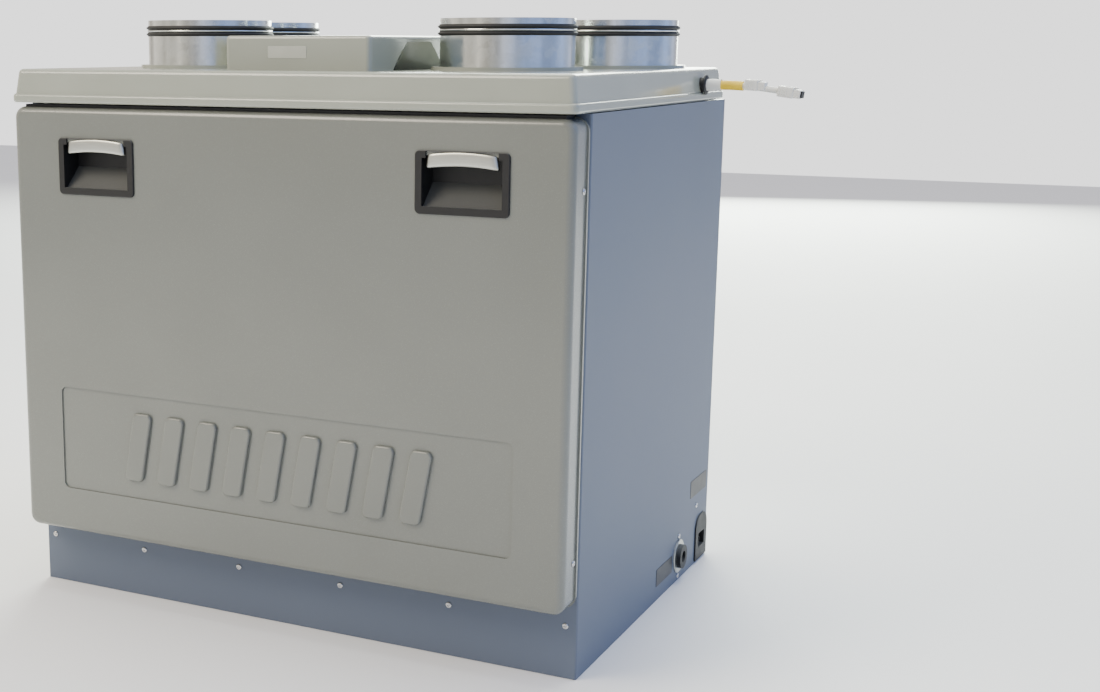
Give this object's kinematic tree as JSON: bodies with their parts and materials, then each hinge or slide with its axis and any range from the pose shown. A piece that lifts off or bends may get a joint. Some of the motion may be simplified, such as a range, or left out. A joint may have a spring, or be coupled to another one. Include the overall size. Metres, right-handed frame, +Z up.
{
  "type": "heat recovery unit",
  "caption": "Cabinet heat recovery ventilation unit with round duct collars on top, a pull-off front door, an exchanger core, filters, fans and a bypass flap.",
  "frame": {"origin": "middle of the cabinet and lid's footprint, at floor level", "axes": "+X to the viewer's right across the front, +Y from the door towards the back, +Z up through the duct collars"},
  "size_m": [0.8762, 0.5663, 0.735],
  "materials": {
    "coated_sheet": "satin powder coat on folded sheet",
    "galvanised_sheet": "zinc-coated sheet with faint spangle",
    "lid_plastic": "smooth vacuum-formed plastic",
    "door_plastic": "smooth moulded plastic with a soft gloss",
    "black_plastic": "fine-grained black moulding",
    "grip_metal": "satin anodised",
    "seal_rubber": "soft black rubber",
    "liner_foam": "expanded bead foam",
    "exchanger_film": "thin translucent plate stack",
    "filter_card": "stiff white frame",
    "filter_cloth": "pleated fleece",
    "screw_chrome": "bright nickel plate",
    "board_laminate": "green solder mask",
    "part_plastic": "mixed component bodies",
    "grey_plastic": "plain grey moulding",
    "strap_webbing": "woven strap",
    "white_sleeve": "plain white sleeve",
    "yellow_sleeve": "yellow sleeve",
    "label_film": "blank dark label film",
    "motor_case": "cast and turned motor case"
  },
  "bodies": {
    "cabinet": {"side_panel_left": "coated_sheet", "side_panel_right": "coated_sheet", "plinth_panel": "coated_sheet", "rear_panel": "galvanised_sheet", "base_pan": "galvanised_sheet", "top_deck": "galvanised_sheet", "spigot_extract": "galvanised_sheet", "spigot_outdoor": "galvanised_sheet", "spigot_supply": "galvanised_sheet", "spigot_exhaust": "galvanised_sheet", "partition_plate": "galvanised_sheet", "board_tray": "galvanised_sheet", "power_supply": "galvanised_sheet", "lid_cover": "lid_plastic", "mains_inlet": "black_plastic", "fan_housing_left": "black_plastic", "fan_housing_right": "black_plastic", "fan_inlets": "black_plastic", "bypass_frame": "black_plastic", "bypass_actuator": "black_plastic", "drain_outlet": "black_plastic", "condensate_tray": "black_plastic", "drain_ring": "grip_metal", "spigot_seals": "seal_rubber", "lead_gland": "seal_rubber", "side_liners": "liner_foam", "liner_rear": "liner_foam", "liner_top": "liner_foam", "core_shelves": "liner_foam", "centre_walls": "liner_foam", "rear_divider": "liner_foam", "condensate_hose": "grey_plastic", "case_screws": "screw_chrome", "temperature_probes": "screw_chrome", "control_board": "board_laminate", "board_components": "part_plastic", "lead_sleeve": "white_sleeve", "lead_cable": "white_sleeve", "lead_plug": "white_sleeve", "lead_band": "yellow_sleeve", "blank_labels": "label_film", "fan_motors": "motor_case"},
    "door": {"door_shell": "door_plastic", "door_screws": "screw_chrome", "door_backing": "galvanised_sheet", "door_liner": "liner_foam", "door_gasket": "seal_rubber", "handle_housing_left": "black_plastic", "handle_housing_right": "black_plastic", "handle_grips": "grip_metal"},
    "exchanger": {"exchanger_core": "exchanger_film", "exchanger_caps": "grey_plastic", "exchanger_strap": "strap_webbing"},
    "filter_left": {"filter_frame_left": "filter_card", "filter_media_left": "filter_cloth"},
    "filter_right": {"filter_frame_right": "filter_card", "filter_media_right": "filter_cloth"},
    "rotor_left": {"fan_rotor_left": "black_plastic"},
    "rotor_right": {"fan_rotor_right": "black_plastic"},
    "flap": {"bypass_flap": "grey_plastic"}
  },
  "joints": [
    {"name": "door_pull", "type": "slide", "parent": "cabinet", "child": "door", "axis": [0, -1, 0], "range_m": [0, 0.65]},
    {"name": "exchanger_slide", "type": "slide", "parent": "cabinet", "child": "exchanger", "axis": [0, -1, 0], "range_m": [0, 0.2925]},
    {"name": "filter_left_slide", "type": "slide", "parent": "cabinet", "child": "filter_left", "axis": [0, -1, 0], "range_m": [0, 0.273]},
    {"name": "filter_right_slide", "type": "slide", "parent": "cabinet", "child": "filter_right", "axis": [0, -1, 0], "range_m": [0, 0.273]},
    {"name": "fan_left_spin", "type": "hinge", "parent": "cabinet", "child": "rotor_left", "pos_m": [-0.25, 0.16, 0.215], "axis": [0, 1, 0], "continuous": true},
    {"name": "fan_right_spin", "type": "hinge", "parent": "cabinet", "child": "rotor_right", "pos_m": [0.25, 0.16, 0.215], "axis": [0, 1, 0], "continuous": true},
    {"name": "bypass_turn", "type": "hinge", "parent": "cabinet", "child": "flap", "pos_m": [-0.075, 0.0582, 0.589], "axis": [1, 0, 0], "range_deg": [0, 75]}
  ],
  "couplings": [
    {"joint": "exchanger_slide", "follows": "door_pull", "ratio": 0.45},
    {"joint": "filter_left_slide", "follows": "door_pull", "ratio": 0.42},
    {"joint": "filter_right_slide", "follows": "door_pull", "ratio": 0.42}
  ]
}
